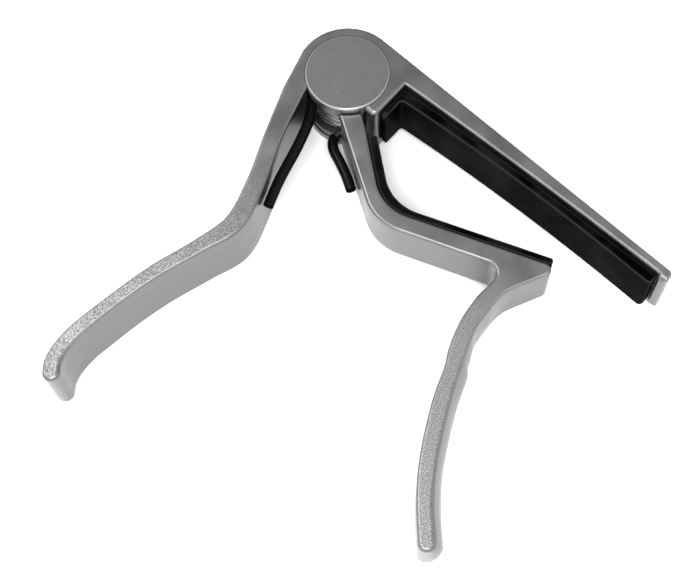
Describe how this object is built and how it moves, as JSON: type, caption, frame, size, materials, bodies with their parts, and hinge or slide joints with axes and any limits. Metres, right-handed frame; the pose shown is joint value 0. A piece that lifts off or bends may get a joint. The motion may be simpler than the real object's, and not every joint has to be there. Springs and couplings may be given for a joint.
{
  "type": "guitar capo",
  "caption": "Sprung guitar capo: cast levers on a pivot, a rubber-faced bar over the strings, a padded jaw behind the neck and squeeze handles.",
  "frame": {"origin": "on the pivot axis, in the outer face of the lower hub cap", "axes": "+Z along the pivot axis, towards the upper hub cap; +X along the string bar, away from the pivot; the neck jaw and both handles are on the -Y side"},
  "size_m": [0.0857, 0.0952, 0.0156],
  "materials": {
    "nickel": "satin nickel plating over a fine-grained casting",
    "cap": "satin, with a bright chamfer",
    "rubber": "matt moulded black",
    "sleeving": "semi-gloss black tubing",
    "steel": "bright plated spring wire",
    "nylon": "natural nylon"
  },
  "bodies": {
    "string_lever": {"bar_lever": "nickel", "string_pad": "rubber", "pivot_pin": "steel", "lower_hub_cap": "cap", "upper_hub_cap": "cap", "spring_bush": "nylon", "torsion_spring": "steel", "long_leg_sleeve": "sleeving"},
    "neck_lever": {"jaw_lever": "nickel", "neck_pad": "rubber", "short_leg_sleeve": "sleeving"}
  },
  "joints": [
    {"name": "jaw_pivot", "type": "hinge", "parent": "string_lever", "child": "neck_lever", "pos_m": [0, 0, 0.0078], "axis": [0, 0, -1], "range_deg": [0, 28], "stiffness_Nm_per_rad": 0.6, "springref_deg": -91.67, "deforming": ["torsion_spring"]}
  ]
}
